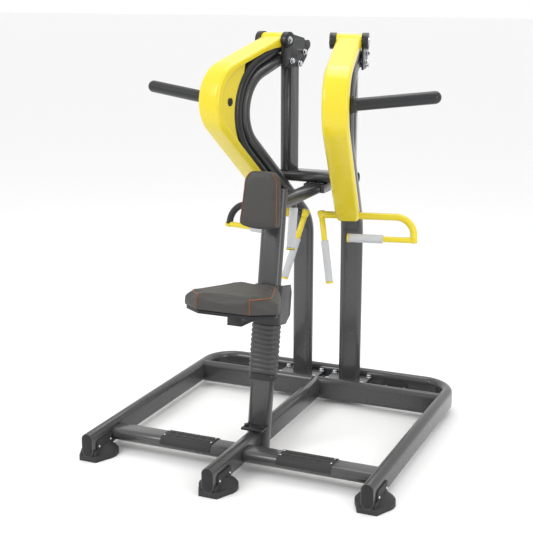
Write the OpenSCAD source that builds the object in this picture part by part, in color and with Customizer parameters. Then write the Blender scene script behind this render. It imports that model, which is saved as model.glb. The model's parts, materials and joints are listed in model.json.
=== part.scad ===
// Plate-loaded pulldown and row machine with two independent swing arms, an adjustable
// seat and a chest pad. Units are millimetres, +Z is up and the user sits on the -Y side.
// The origin is the middle of the footprint, on the floor.

/* [Frame tube] */
// Long side of the flat-oval frame tube
tube_w = 100; // [96:1:104]
// Short side of the flat-oval frame tube
tube_d = 50; // [48:1:52]
// Wall of the frame tube
tube_wall = 3; // [2:0.5:4]

/* [Base] */
// Distance between the middles of the two side rails
base_w = 1181; // [1160:1:1210]
// Distance from the front of the centre rail to the middle of the rear bar
base_len = 1318; // [1300:1:1340]
// How far the side rails stop short of the centre rail's front
rail_setback = 106; // [80:1:130]
// Height of the middle of the base tubes
rail_z = 68; // [66:1:72]
// Radius of the rear corners of the base
corner_r = 130; // [110:5:150]

/* [Arm planes] */
// Distance of each arm pivot from the middle of the machine
hub_x = 168; // [164:1:172]
// Position of the arm pivots along the machine
hub_y = 327; // [320:1:334]
// Height of the arm pivots
hub_z = 1637; // [1630:1:1640]
// Angle that each arm plane turns outwards
splay = 13; // [11:0.5:15]

/* [Uprights] */
// Radius of the bends in the uprights
bend_r = 170; // [165:1:175]
// Slope of the lower run of the uprights and arms
lower_slope = 42.6; // [41:0.2:44]
// Slope of the upper run of the uprights and arms
upper_slope = 18.5; // [17:0.5:20]
// Where the lower and upper runs would cross, in front of the pivot
knee_t = 406; // [400:1:412]
// Height where the lower and upper runs would cross
knee_z = 1418; // [1412:1:1424]
// How far the foot of each upright stands behind the pivot
column_t = 228; // [220:1:236]
// How far each mast stands behind the pivot
mast_t = 112; // [106:1:116]

/* [Arms] */
// Step from the upright's middle line to the arm tube's middle line
nest = 56; // [55:0.5:58]
// Width of the yellow arm cover
cover_w = 106; // [105:0.5:107]
// Outer radius of the cover's knee
cover_r = 164; // [160:1:168]
// Diameter of the weight horn
horn_d = 50; // [48:0.5:50.5]
// Length of the weight horn beyond its collar
horn_len = 326; // [280:1:340]
// Upward tilt of the weight horn
horn_tilt = 6.2; // [4:0.2:8]

/* [Handles] */
// Diameter of the handle cross tube
handle_d = 31; // [28:0.5:33]
// Diameter of the bars that carry the grips
bar_d = 25; // [22:0.5:26]
// Diameter of the row grips
row_grip_d = 38; // [34:0.5:40]
// Diameter of the hanging grips
drop_grip_d = 33; // [30:0.5:36]

/* [Seat and chest pad] */
// Backward lean of the seat column
lean = 10; // [8:0.5:12]
// Height of the front edge of the seat
seat_z = 745; // [735:1:755]
// Distance from the seat column's middle to the face of the chest pad
pad_reach = 163; // [155:1:170]

/* [Hidden] */

$fn = 48;
frame_grey = [0.38, 0.38, 0.39];
dark_grey = [0.2, 0.2, 0.21];
rubber_black = [0.12, 0.12, 0.12];
arm_yellow = [0.93, 0.85, 0.24];
grip_grey = [0.78, 0.79, 0.8];
steel = [0.75, 0.76, 0.78];
pad_grey = [0.33, 0.33, 0.32];

weld = 0.05;        // gap left at a welded seam
run_gap = 0.3;      // gap between parts of different bodies
side_x = base_w / 2;
foot_len = 172;
foot_r = 76;
front_y = -(base_len + foot_r) / 2;
rear_y = front_y + base_len;
side_front_y = front_y + rail_setback;
rear_cross_y = 428;
front_cross_y = -401;

function tenth(x) = round(x * 10) / 10;

// directions in an arm plane, as [forward, up]
low_dir = [-cos(lower_slope), -sin(lower_slope)];
low_out = [sin(lower_slope), -cos(lower_slope)];
up_dir = [-cos(upper_slope), sin(upper_slope)];
up_out = [sin(upper_slope), cos(upper_slope)];
turn = 180 - lower_slope - upper_slope;
foot_turn = 90 - lower_slope;
knee_tan = bend_r * tan(turn / 2);
foot_tan = bend_r * tan(foot_turn / 2);
knee_mid = [knee_t, knee_z] + (low_dir + up_dir) / norm(low_dir + up_dir) * bend_r / cos(turn / 2);
foot_knee_z = knee_z - (column_t + knee_t) * tan(lower_slope);
column_bottom = 92;

arm_r = bend_r + nest;
arm_low_len = 452;
arm_low_end = knee_mid + arm_r * low_out + arm_low_len * low_dir;
arm_up_start = knee_mid + arm_r * up_out;
arm_up_len = tenth((arm_up_start[0] - 4) / cos(upper_slope));

// the cover's outer knee
cover_slope = 16.3;
cover_up_dir = [-cos(cover_slope), sin(cover_slope)];
cover_up_out = [sin(cover_slope), cos(cover_slope)];
cover_turn = 180 - lower_slope - cover_slope;
cover_mid = [292, 1403];
cover_t = 16.5;
cover_upper_t = 32;
cover_round = 8;
cheek_in = 16;
cheek_t = 4;

pivot_r = 30;
bush_r = 20;
shaft_r = 15;
plate_in = 54;
plate_t = 8;
boss_r = 34;
boss_out = 80;
hub_bolt_at = [[-132, 1581], [-38, 1548], [-95, 1534]];

horn_at = [355, 1404];
horn_root = 41.2;
collar_end = 74;
collar_d = 68;

cross_z = 1045;
cross_y = 431;
cross_half = 173;

handle_at = [-70, 888];
handle_lean = 17;
handle_in = -117;
handle_out = 207;
handle_bend = 80;
row_drop = 98;
row_grip_from = 8;
row_grip_len = 148;
drop_lean = 9.5;
drop_len = 296;
drop_grip_len = 180;
centre_grip_d = 37;

column_y0 = -237.4;
centre_tube_z = 1000;
column_top = 1085;
cover_from = 334;
rib_pitch = 20;
rib_count = 10;
carriage_from = 535;
carriage_len = 160;
seat_tilt = 4.5;
seat_thick = 66;
board_t = 12;
pin_r = 6;
pin_z = 664;

// ---- outlines ----

// flat-oval outline, w along x and d along y
module oval(w, d) {
    square([w - d, d], center = true);
    for (s = [-1, 1]) translate([s * (w - d) / 2, 0]) circle(d = d);
}

// wall of a flat-oval tube, or the full outline where wall is 0
module tube_section(w, d, wall) {
    if (wall > 0) difference() {
        oval(w, d);
        oval(w - 2 * wall, d - 2 * wall);
    }
    else oval(w, d);
}

// rectangle with round corners
module soft_rect(w, d, r) {
    square([w - 2 * r, d], center = true);
    square([w, d - 2 * r], center = true);
    for (x = [-1, 1], y = [-1, 1]) translate([x * (w / 2 - r), y * (d / 2 - r)]) circle(r);
}

// hexagon prism for bolt heads, across flats af
module hex(af, h) {
    cylinder(d = af / cos(30), h = h, $fn = 6);
}

// ---- tubes that follow a bent line ----

// The line starts along +Z. Each step is [0, length] for a straight run or
// [radius, angle] for a bend towards +Y, or towards -Y where the angle is negative.
module bend(radius, angle) {
    translate([0, radius, 0]) rotate([90, 0, -90]) rotate_extrude(angle = angle)
        translate([radius, 0]) rotate(90) children();
}

// runs and bends one after another; a seam above 0 leaves that gap at each joint
module bent_tube(steps, w = tube_w, d = tube_d, wall = tube_wall, corner = 0, seam = 0, i = 0) {
    if (i < len(steps)) {
        r = steps[i][0];
        a = steps[i][1];
        if (r == 0) {
            linear_extrude(a - seam) shape(w, d, wall, corner);
            translate([0, 0, a]) bent_tube(steps, w, d, wall, corner, seam, i + 1);
        } else {
            mid = [0, sign(a) * r, 0];
            rotate(a > 0 ? 0 : 180) bend(r, abs(a) - seam * 180 / PI / r) shape(w, d, wall, corner);
            translate(mid) rotate([-a, 0, 0]) translate(-mid)
                bent_tube(steps, w, d, wall, corner, seam, i + 1);
        }
    }
}

module shape(w, d, wall, corner) {
    if (corner > 0) soft_rect(w, d, corner);
    else tube_section(w, d, wall);
}

// ---- frames of reference ----

// x points out of the arm plane, away from the middle, y backwards and z up
module arm_frame(side) {
    if (side > 0) translate([hub_x, hub_y, 0]) rotate([0, 0, splay]) children();
    else mirror([1, 0, 0]) translate([hub_x, hub_y, 0]) rotate([0, 0, splay]) children();
}

// moves to a point [forward, up] of the arm plane
module at(p, x = 0) {
    translate([x, -p[0], p[1]]) children();
}

// z runs up the seat column, y points behind it
module column_frame() {
    translate([0, column_y0, 0]) rotate([-lean, 0, 0]) children();
}

// ---- base ----

module rail_block(x, from, to, wall = tube_wall, grow = 0) {
    translate([x, from, rail_z]) rotate([-90, -90, 0]) linear_extrude(to - from)
        tube_section(tube_w + grow, tube_d + grow, wall);
}

module base_loop() {
    side_len = rear_y - corner_r - side_front_y;
    color(frame_grey) translate([-side_x, side_front_y, rail_z]) rotate([-90, -90, 0])
        bent_tube([[0, side_len], [corner_r, 90], [0, base_w - 2 * corner_r],
            [corner_r, 90], [0, side_len]]);
}

module seat_column_solid(grow = 0) {
    column_frame() translate([0, 0, -60]) linear_extrude(column_top + 60)
        oval(tube_w + grow, tube_d + grow);
}

module centre_rail_front() {
    color(frame_grey) difference() {
        rail_block(0, front_y, column_y0 + 12);
        seat_column_solid(2 * weld);
    }
}

module centre_rail_rear() {
    color(frame_grey) difference() {
        rail_block(0, column_y0 + 12, rear_cross_y);
        seat_column_solid(2 * weld);
        rear_cross_solid(2 * weld);
    }
}

module rear_cross_solid(grow = 0) {
    translate([-side_x, rear_cross_y, rail_z]) rotate([0, 90, 0]) linear_extrude(base_w)
        oval(tube_w + grow, tube_d + grow);
}

module rear_crossmember() {
    color(frame_grey) difference() {
        translate([-side_x, rear_cross_y, rail_z]) rotate([0, 90, 0]) linear_extrude(base_w)
            tube_section(tube_w, tube_d, tube_wall);
        for (s = [-1, 1])
            rail_block(s * side_x, rear_cross_y - 60, rear_cross_y + 60, 0, 2 * weld);
    }
}

module front_crossmember(side) {
    from = tube_d / 2 + weld;
    run = side_x - tube_d - 2 * weld;
    color(frame_grey) translate([side > 0 ? from : -from - run, front_cross_y, rail_z])
        rotate([90, 0, 90]) linear_extrude(run) tube_section(tube_w, tube_d, tube_wall);
}

module front_crossmember_left() { front_crossmember(-1); }
module front_crossmember_right() { front_crossmember(1); }

// plugs that close the ends of the rails and the top of the seat column
module tube_end_caps() {
    inner = 2 * tube_wall + 6 * weld;
    color(dark_grey) {
        for (p = [[-side_x, side_front_y], [0, front_y], [side_x, side_front_y]])
            translate([p[0], p[1] + weld, rail_z]) rotate([-90, -90, 0]) linear_extrude(18)
                oval(tube_w - inner, tube_d - inner);
        column_frame() translate([0, 0, column_top - 18]) linear_extrude(18)
            oval(tube_w - inner, tube_d - inner);
    }
}

// ---- feet ----

// Boot that hugs a base tube. The tube runs along y, its end at y = 0.
module foot() {
    ear_x = tube_d / 2 + 8;
    color(dark_grey) difference() {
        union() {
            translate([0, foot_len - foot_r, 0]) rotate_extrude()
                polygon([[0, 0], [foot_r, 0], [foot_r, 20], [foot_r - 7, 28], [38, 52], [0, 52]]);
            linear_extrude(24) polygon([[-38, 0], [38, 0], [foot_r - 4, foot_len - foot_r - 22],
                [4 - foot_r, foot_len - foot_r - 22]]);
            translate([-ear_x, 6, 0]) cube([2 * ear_x, 90, 46]);
            for (s = [-1, 1]) translate([s * (ear_x - 8) - (s < 0 ? 8 : 0), 0, 0])
                rotate([90, 0, 90]) linear_extrude(8) ear_outline();
        }
        rail_channel();
    }
}

module ear_outline() {
    translate([26, 30]) square([113, 34]);
    translate([44, 30]) square([95, 52]);
    translate([44, 64]) circle(18);
}

module rail_channel() {
    translate([0, -1, rail_z]) rotate([-90, -90, 0]) linear_extrude(foot_len + 4)
        oval(tube_w + 2 * weld, tube_d + 2 * weld);
}

module foot_at(x, y, angle) {
    translate([x, y, 0]) rotate([0, 0, angle]) children();
}

rear_foot_x = 323;
module foot_front_left() { foot_at(-side_x, side_front_y, 0) foot(); }
module foot_front_centre() { foot_at(0, front_y, 0) foot(); }
module foot_front_right() { foot_at(side_x, side_front_y, 0) foot(); }
module foot_rear_left() { foot_at(-rear_foot_x - foot_len / 2, rear_y, -90) foot(); }
module foot_rear_right() { foot_at(rear_foot_x + foot_len / 2, rear_y, 90) foot(); }

// small pan-head screws in the ears of the feet
module foot_screws() {
    color(steel) {
        for (x = [-side_x, 0, side_x]) foot_at(x, x == 0 ? front_y : side_front_y, 0) ear_screws();
        foot_at(-rear_foot_x, rear_y, -90) translate([0, -foot_len / 2, 0]) ear_screws();
        foot_at(rear_foot_x, rear_y, 90) translate([0, -foot_len / 2, 0]) ear_screws();
    }
}

module ear_screws() {
    for (s = [-1, 1], y = [39, 126]) translate([s * (tube_d / 2 + 8 + weld), y, 57])
        rotate([0, s * 90, 0]) cylinder(d = 11, h = 3.5);
}

// ---- treads on the front crossmembers ----

tread_len = 224;
tread_wall = 4;
tread_x = [-223, 285];
lug_pitch = 34;

module tread(x) {
    color(dark_grey) translate([x, front_cross_y, rail_z]) {
        rotate([90, 0, 90]) translate([0, 0, -tread_len / 2]) linear_extrude(tread_len)
            difference() {
                oval(tube_w + 2 * tread_wall, tube_d + 2 * tread_wall);
                oval(tube_w + 2 * weld, tube_d + 2 * weld);
                translate([-tube_w, -tube_w - 2]) square([2 * tube_w, tube_w]);
            }
        for (i = [-2.5:1:2.5], j = [-1, 1]) translate([i * lug_pitch, j * 13, tube_d / 2 + tread_wall])
            linear_extrude(1.6) oval(26, 15);
    }
}

module tread_left() { tread(tread_x[0]); }
module tread_right() { tread(tread_x[1]); }

module tread_screws() {
    color(steel) for (x = tread_x, s = [-1, 1], y = [-1, 1])
        translate([x + s * (tread_len / 2 - 7), front_cross_y + y * 22, rail_z + tube_d / 2 + tread_wall + weld])
            cylinder(d = 8, h = 2);
}

// ---- uprights ----

upright_end_t = -50;
column_x = hub_x - column_t * sin(splay);
flange_w = 190;
flange_d = 124;
flange_y = rear_y - tube_d / 2 - 6 - flange_d / 2;
plate_bolt_x = 84;
plate_bolt_y = 52;

function upright_steps() = [
    [0, tenth(foot_knee_z - foot_tan - column_bottom)],
    [bend_r, -foot_turn],
    [0, tenth((knee_t + column_t) / cos(lower_slope) - foot_tan - knee_tan)],
    [bend_r, turn],
    [0, tenth((knee_t - upright_end_t) / cos(upper_slope) - knee_tan)]];

module upright(side) {
    color(frame_grey) {
        arm_frame(side) difference() {
            at([-column_t, column_bottom]) bent_tube(upright_steps(), seam = weld);
            at(hub_bolt_at[1], -plate_in) rotate([0, 90, 0]) cylinder(r = 6.1, h = 2 * plate_in);
        }
        translate([side * column_x, flange_y, column_bottom]) difference() {
            translate([-flange_w / 2, -flange_d / 2, -8]) cube([flange_w, flange_d, 8 - weld]);
            flange_bolt_places() translate([0, 0, -9]) cylinder(r = 6.2, h = 10);
        }
    }
}

module flange_bolt_places() {
    for (x = [-1, 1], y = [-1, 1]) translate([x * plate_bolt_x, y * plate_bolt_y, 0]) children();
}

module upright_left() { upright(-1); }
module upright_right() { upright(1); }

// plates welded between the rear crossmember and the rear bar
module column_seats() {
    top = column_bottom - 8 - weld;
    from = rear_cross_y + tube_d / 2 + weld;
    to = rear_y - tube_d / 2 - weld;
    color(dark_grey) for (s = [-1, 1]) difference() {
        translate([s * column_x - flange_w / 2, from, top - 8]) cube([flange_w, to - from, 8]);
        translate([s * column_x, flange_y, 0]) flange_bolt_places()
            translate([0, 0, top - 9]) cylinder(r = 6.2, h = 10);
    }
}

module column_bolts() {
    color(steel) for (s = [-1, 1]) translate([s * column_x, flange_y, column_bottom])
        flange_bolt_places() {
            translate([0, 0, weld]) hex(18, 8);
            translate([0, 0, -24]) cylinder(r = 6, h = 26);
            translate([0, 0, -32]) translate([0, 0, 4]) hex(18, 10 - weld);
        }
}

module crossbar() {
    color(frame_grey) difference() {
        translate([-cross_half, cross_y, cross_z]) rotate([90, 0, 90]) linear_extrude(2 * cross_half)
            tube_section(tube_w, tube_d, tube_wall);
        for (s = [-1, 1]) arm_frame(s) at([-column_t, foot_knee_z]) rotate([foot_turn, 0, 0])
            translate([0, 0, 120]) linear_extrude(400) oval(tube_w + 2 * weld, tube_d + 2 * weld);
    }
}

// upright tube from the crossbar to the hub plates, its long side along the arm plane
module mast(side) {
    bottom = cross_z + tube_d / 2 + weld;
    top = hub_z - 24;
    color(frame_grey) arm_frame(side) difference() {
        union() {
            at([-mast_t, bottom]) linear_extrude(top - bottom) rotate(90)
                tube_section(tube_w, tube_d, tube_wall);
            for (i = [0, 2]) at(hub_bolt_at[i], -plate_in + weld) rotate([0, 90, 0])
                cylinder(r = 12, h = 2 * (plate_in - weld));
        }
        for (i = [0, 2]) at(hub_bolt_at[i], -plate_in) rotate([0, 90, 0])
            cylinder(r = 6.1, h = 2 * plate_in);
    }
}

module mast_left() { mast(-1); }
module mast_right() { mast(1); }

// ---- hubs ----

// plate outline with forward along -x and up along y, measured from the floor
module hub_outline() {
    difference() {
        union() {
            translate([0, hub_z]) circle(boss_r);
            translate([158, 1611]) circle(20);
            polygon([[0, hub_z + 32], [128, 1641], [168, 1602], [150, 1560], [112, 1520],
                [-22, 1520], [-30, 1605]]);
        }
        translate([0, hub_z]) circle(shaft_r + 0.02);
        for (b = hub_bolt_at) translate([-b[0], b[1]]) circle(6.1);
    }
}

module hub_plate(side, out) {
    color(rubber_black) arm_frame(side) mirror_x(out < 0) {
        translate([plate_in, 0, 0]) rotate([90, 0, 90]) linear_extrude(plate_t) hub_outline();
        at([0, hub_z], plate_in + plate_t - 0.01) rotate([0, 90, 0]) difference() {
            cylinder(r = boss_r, h = boss_out - plate_in - plate_t);
            translate([0, 0, -1]) cylinder(r = shaft_r + 0.02, h = 60);
        }
    }
}

module mirror_x(flip) {
    if (flip) mirror([1, 0, 0]) children();
    else children();
}

module hub_plate_inner_left() { hub_plate(-1, -1); }
module hub_plate_outer_left() { hub_plate(-1, 1); }
module hub_plate_inner_right() { hub_plate(1, -1); }
module hub_plate_outer_right() { hub_plate(1, 1); }

module hub_bolts() {
    reach = plate_in + plate_t + weld;
    color(steel) for (s = [-1, 1]) arm_frame(s) for (b = hub_bolt_at) at(b) rotate([0, 90, 0]) {
        translate([0, 0, -reach]) cylinder(r = 6, h = 2 * reach + 14);
        translate([0, 0, reach]) hex(19, 10);
        translate([0, 0, -reach - 8]) hex(19, 8);
    }
}

module pivot_shaft(side) {
    color(steel) arm_frame(side) at([0, hub_z], -boss_out) rotate([0, 90, 0]) {
        cylinder(r = shaft_r, h = 2 * boss_out);
        for (z = [-4, 2 * boss_out]) translate([0, 0, z]) cylinder(r = 13, h = 4);
    }
}

module pivot_shaft_left() { pivot_shaft(-1); }
module pivot_shaft_right() { pivot_shaft(1); }

// rubber blocks on the uprights that the arms rest against
module arm_bumpers() {
    color(rubber_black) for (s = [-1, 1]) arm_frame(s)
        at(knee_mid + (bend_r + tube_d / 2 + weld) * low_out + 120 * low_dir)
            rotate([foot_turn, 0, 0]) translate([-22, -(nest - tube_d - run_gap - weld), -40])
                cube([44, nest - tube_d - run_gap - weld, 40]);
}

// ---- centre tube with the fixed handle ----

stem_y = 148;
stem_d = 25;
stem_len = 214;
grip_top = 30;

module stem_frame() {
    translate([0, stem_y, centre_tube_z]) rotate([-lean - 0.6, 0, 0]) mirror([0, 0, 1]) children();
}

module centre_tube() {
    end_y = cross_y - tube_w / 2 - 8;
    color(dark_grey) {
        difference() {
            translate([0, -60, centre_tube_z]) rotate([-90, 0, 0]) linear_extrude(end_y + 60)
                oval(70, tube_d);
            seat_column_solid(2 * weld);
        }
        translate([-48, end_y - 4, centre_tube_z - 18]) cube([96, 84, 37]);
        stem_frame() {
            cylinder(d = stem_d, h = stem_len);
            translate([0, 0, stem_len]) cylinder(d = centre_grip_d + 2, h = 8);
        }
    }
}

module centre_grip() {
    color(grip_grey) stem_frame() translate([0, 0, grip_top + 14]) difference() {
        cylinder(d = centre_grip_d, h = stem_len - grip_top - 14 - weld);
        translate([0, 0, -1]) cylinder(d = stem_d + 0.1, h = stem_len);
    }
}

// ---- seat column ----

pin_hole_pitch = 20;

module seat_column() {
    color(frame_grey) difference() {
        column_frame() translate([0, 0, -60]) linear_extrude(column_top + 60)
            tube_section(tube_w, tube_d, tube_wall);
        translate([-100, column_y0 - 150, -200]) cube([200, 300, 200 + rail_z - tube_w / 2]);
        column_frame() for (i = [0:5]) translate([0, tube_d / 2 - 6, pin_z + i * pin_hole_pitch])
            rotate([-90, 0, 0]) cylinder(r = pin_r + 0.3, h = 12);
    }
}

// steel band under the ribbed cover and bolted foot plate over the centre rail
module column_clamp() {
    color(rubber_black) {
        column_frame() translate([0, 0, cover_from - 26]) linear_extrude(24) difference() {
            oval(tube_w + 16, tube_d + 16);
            oval(tube_w + 2 * weld, tube_d + 2 * weld);
        }
        difference() {
            translate([-46, column_y0 - 62, rail_z + tube_w / 2 + weld]) cube([92, 84, 8]);
            seat_column_solid(2 * weld);
        }
        for (x = [-34, 34]) translate([x, column_y0 - 32, rail_z + tube_w / 2 + 8 + 2 * weld])
            hex(18, 9);
    }
}

module column_cover() {
    color(dark_grey) column_frame() translate([0, 0, cover_from]) difference() {
        for (i = [0:rib_count - 1]) translate([0, 0, i * rib_pitch]) {
            linear_extrude(rib_pitch * 0.45) oval(tube_w + 14, tube_d + 14);
            translate([0, 0, rib_pitch * 0.45]) linear_extrude(rib_pitch * 0.55)
                oval(tube_w + 24, tube_d + 24);
        }
        translate([0, 0, -1]) linear_extrude(rib_pitch * rib_count + 2)
            oval(tube_w + 2 * weld, tube_d + 2 * weld);
    }
}

// ---- chest pad ----

pad_t = 48;
pad_low = 936;
pad_mid = 1118;
pad_top = 1148;
pad_bracket_z = 1020;

module pad_outline(grow = 0) {
    polygon([[-48 - grow, pad_top + grow], [-69 - grow, pad_mid], [-80 - grow, pad_low - grow],
        [-40, pad_low - 10 - grow], [0, pad_low - 13 - grow], [40, pad_low - 10 - grow],
        [80 + grow, pad_low - grow], [69 + grow, pad_mid], [48 + grow, pad_top + grow]]);
}

module chest_pad() {
    color(pad_grey) column_frame() translate([0, pad_t - pad_reach, 0]) rotate([90, 0, 0])
        linear_extrude(pad_t) pad_outline();
}

module chest_pad_board() {
    color(rubber_black) column_frame() translate([0, pad_t - pad_reach + board_t + weld, 0])
        rotate([90, 0, 0]) linear_extrude(board_t) pad_outline(-5);
}

module chest_pad_bracket() {
    from = pad_t - pad_reach + board_t + 2 * weld;
    to = -tube_d / 2 - weld;
    color(frame_grey) column_frame() translate([0, from, pad_bracket_z]) rotate([-90, 0, 0]) {
        linear_extrude(6) soft_rect(90, 120, 10);
        linear_extrude(to - from) difference() {
            soft_rect(60, 60, 6);
            soft_rect(54, 54, 3);
        }
    }
}

// ---- seat ----

seat_front_y = -552;
seat_side_y = 66;
seat_back_y = 318;

module seat_frame() {
    translate([0, seat_front_y, seat_z]) rotate([-seat_tilt, 0, 0]) children();
}

module seat_outline(front, side, back) {
    polygon([[-front, 0], [front, 0], [side, seat_side_y], [side - 2, seat_side_y + 26],
        [back, seat_back_y], [-back, seat_back_y], [2 - side, seat_side_y + 26],
        [-side, seat_side_y]]);
}

module seat_cushion() {
    color(pad_grey) seat_frame() {
        translate([0, 0, -seat_thick]) linear_extrude(42) seat_outline(112, 199, 104);
        hull() {
            translate([0, 0, -24.5]) linear_extrude(0.5) seat_outline(112, 199, 104);
            translate([0, 4, -0.5]) linear_extrude(0.5) seat_outline(110, 162, 82);
        }
    }
}

module seat_board() {
    color(rubber_black) seat_frame() translate([0, 8, -seat_thick - board_t - weld])
        linear_extrude(board_t) scale([0.93, 0.95]) seat_outline(112, 199, 104);
}

module seat_carriage() {
    sleeve = 9;
    plate_x = tube_w / 2 + 1;
    color(rubber_black) {
        difference() {
            union() {
                column_frame() translate([0, 0, carriage_from]) {
                    linear_extrude(carriage_len) oval(tube_w + 2 * sleeve, tube_d + 2 * sleeve);
                    for (s = [-1, 1]) translate([s * (plate_x + 4) - 4, 0, 0]) rotate([90, 0, 90])
                        linear_extrude(8) polygon([[0, 0], [62, 0], [104, 34], [104, 128],
                            [88, carriage_len], [0, carriage_len]]);
                    translate([-plate_x, 62, 92]) cube([2 * plate_x, 24, 44]);
                }
                seat_frame() translate([-30, 110, -seat_thick - board_t - 56])
                    cube([60, 300, 56 - 2 * weld]);
            }
            column_frame() {
                translate([0, 0, carriage_from - 60]) linear_extrude(carriage_len + 160)
                    oval(tube_w + 2 * run_gap, tube_d + 2 * run_gap);
                translate([0, 20, pin_z]) rotate([-90, 0, 0]) cylinder(r = pin_r + 0.05, h = 120);
            }
        }
    }
}

module pull_pin() {
    color(steel) column_frame() translate([0, tube_d / 2 + run_gap, pin_z]) rotate([-90, 0, 0]) {
        cylinder(r = pin_r, h = 84);
        translate([0, 0, 80]) cylinder(r = 15, h = 26);
    }
}

// ---- arms ----

module along_handle(len, r) {
    at(handle_at, -len / 2) rotate([0, 90, 0]) cylinder(r = r, h = len);
}

module horn_axis() {
    at(horn_at) rotate([0, -horn_tilt, 0]) rotate([0, 90, 0]) children();
}

module arm_tube(side) {
    block = [65, 72, 84];
    color(dark_grey) arm_frame(side) difference() {
        union() {
            at(arm_low_end) rotate([foot_turn, 0, 0]) {
                translate([0, 0, tube_wall + weld])
                    bent_tube([[0, tenth(arm_low_len - tube_wall)], [arm_r, turn], [0, arm_up_len]], seam = weld);
                linear_extrude(tube_wall) oval(tube_w, tube_d);
            }
            difference() {
                at([388, 1362], -block[0] / 2) cube(block);
                at(knee_mid, -60) rotate([0, 90, 0]) cylinder(r = arm_r + tube_d / 2 + weld, h = 120, $fn = 96);
            }
        }
        at([0, hub_z], -60) rotate([0, 90, 0]) cylinder(r = pivot_r + weld, h = 120);
        along_handle(140, handle_d / 2 + weld);
        horn_axis() translate([0, 0, -60]) cylinder(r = 15.05, h = 140);
    }
}

// area inside a knee with its runs, in the arm plane, forward along -x
module knee_area(mid, r, up, up_normal, len) {
    translate([-mid[0], mid[1]]) circle(r, $fn = 96);
    for (run = [[low_dir, low_out], [up, up_normal]])
        polygon([for (p = [mid, mid + r * run[1], mid + r * run[1] + len * run[0], mid + len * run[0]])
            [-p[0], p[1]]]);
}

module cheek_outline() {
    head_at = cover_mid - 0.1 * cover_up_dir;
    intersection() {
        difference() {
            knee_area(cover_mid, cover_r - cover_t - 0.2, cover_up_dir, cover_up_out, 260);
            knee_area(knee_mid, arm_r + tube_d / 2 + weld, up_dir, up_out, 500);
            polygon([for (p = [head_at + 300 * cover_up_out, head_at - 300 * cover_up_out,
                head_at - 300 * cover_up_out + 500 * cover_up_dir,
                head_at + 300 * cover_up_out + 500 * cover_up_dir]) [-p[0], p[1]]]);
        }
        translate([-480, 1225]) square([225, 330]);
    }
}

// front skin of the cover, in front of the arm tube from its lower end round the knee
module cover_band() {
    mid_r = cover_r - cover_t / 2;
    from = cover_mid + mid_r * low_out;
    len = tenth((arm_low_end - from) * low_dir - 12);
    at(from + len * low_dir) rotate([foot_turn, 0, 0])
        bent_tube([[0, len], [mid_r, cover_turn]], cover_w, cover_t, 0, cover_round, weld);
}

// deep upper end of the cover, which the arm tube runs inside
module cover_head() {
    start = cover_mid + (cover_r - cover_upper_t / 2) * cover_up_out;
    difference() {
        at(start) rotate([cover_slope - 90, 0, 0]) linear_extrude(start[0] / cos(cover_slope))
            soft_rect(cover_w, cover_upper_t, cover_round);
        at(arm_up_start - 160 * up_dir) rotate([upper_slope - 90, 0, 0]) linear_extrude(400)
            oval(tube_w + 0.4, tube_d + 0.4);
        at([0, hub_z], -60) rotate([0, 90, 0]) cylinder(r = pivot_r + 0.1, h = 120);
    }
}

module arm_cover(side) {
    color(arm_yellow) arm_frame(side) {
        difference() {
            cover_band();
            along_handle(140, handle_d / 2 + 0.2);
        }
        cover_head();
        for (s = [-1, 1]) difference() {
            translate([s * (cover_w / 2 - cheek_in - cheek_t / 2) - cheek_t / 2, 0, 0])
                rotate([90, 0, 90]) linear_extrude(cheek_t) cheek_outline();
            horn_axis() translate([0, 0, -80]) cylinder(r = 16, h = 140);
        }
    }
}

module pivot_tube(side) {
    half = cover_w / 2;
    color(arm_yellow) arm_frame(side) at([0, hub_z], -half) rotate([0, 90, 0]) difference() {
        cylinder(r = pivot_r, h = 2 * half);
        translate([0, 0, -1]) cylinder(r = bush_r + 0.02, h = 2 * half + 2);
    }
}

module pivot_bushes(side) {
    bush_len = 40;
    color(steel) arm_frame(side) for (x = [-cover_w / 2, cover_w / 2 - bush_len])
        at([0, hub_z], x) rotate([0, 90, 0]) difference() {
            cylinder(r = bush_r, h = bush_len);
            translate([0, 0, -1]) cylinder(r = shaft_r + 0.05, h = bush_len + 2);
        }
}

module weight_horn(side) {
    straight = collar_end + horn_len - horn_d / 2;
    color(dark_grey) arm_frame(side) horn_axis() {
        translate([0, 0, -42]) cylinder(r = 15, h = 42 + horn_root + 1);
        translate([0, 0, horn_root]) cylinder(d = collar_d, h = collar_end - horn_root);
        translate([0, 0, collar_end]) cylinder(d = horn_d, h = straight - collar_end);
        translate([0, 0, straight]) sphere(d = horn_d);
        translate([0, 0, -50]) cylinder(d = 24, h = 8);
    }
}

// z hangs down from the cross tube, x points outwards
module handle_frame_place(side) {
    arm_frame(side) at(handle_at) rotate([-handle_lean, 0, 0]) children();
}

module drop_place() {
    translate([handle_in, 0, 0]) rotate([0, -drop_lean, 0]) mirror([0, 0, 1]) children();
}

module handle_frame(side) {
    color(arm_yellow) handle_frame_place(side) {
        translate([handle_in, 0, 0]) rotate([0, 90, 0]) cylinder(d = handle_d, h = handle_out - handle_in);
        translate([handle_out, 0, -handle_bend]) rotate([90, 0, 0]) rotate_extrude(angle = 90)
            translate([handle_bend, 0]) circle(d = handle_d);
        translate([handle_out + handle_bend, 0, -row_drop]) cylinder(d = handle_d, h = row_drop - handle_bend);
        translate([row_grip_from, 0, -row_drop]) rotate([0, 90, 0])
            cylinder(d = bar_d, h = handle_out + handle_bend + 16 - row_grip_from);
        translate([row_grip_from - 8, 0, -row_drop]) rotate([0, 90, 0]) cylinder(d = row_grip_d, h = 8);
        drop_place() {
            translate([0, 0, -18]) cylinder(d = bar_d + 2, h = 30);
            cylinder(d = bar_d, h = drop_len);
            translate([0, 0, drop_len]) cylinder(d = drop_grip_d + 1, h = 8);
        }
    }
}

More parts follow.
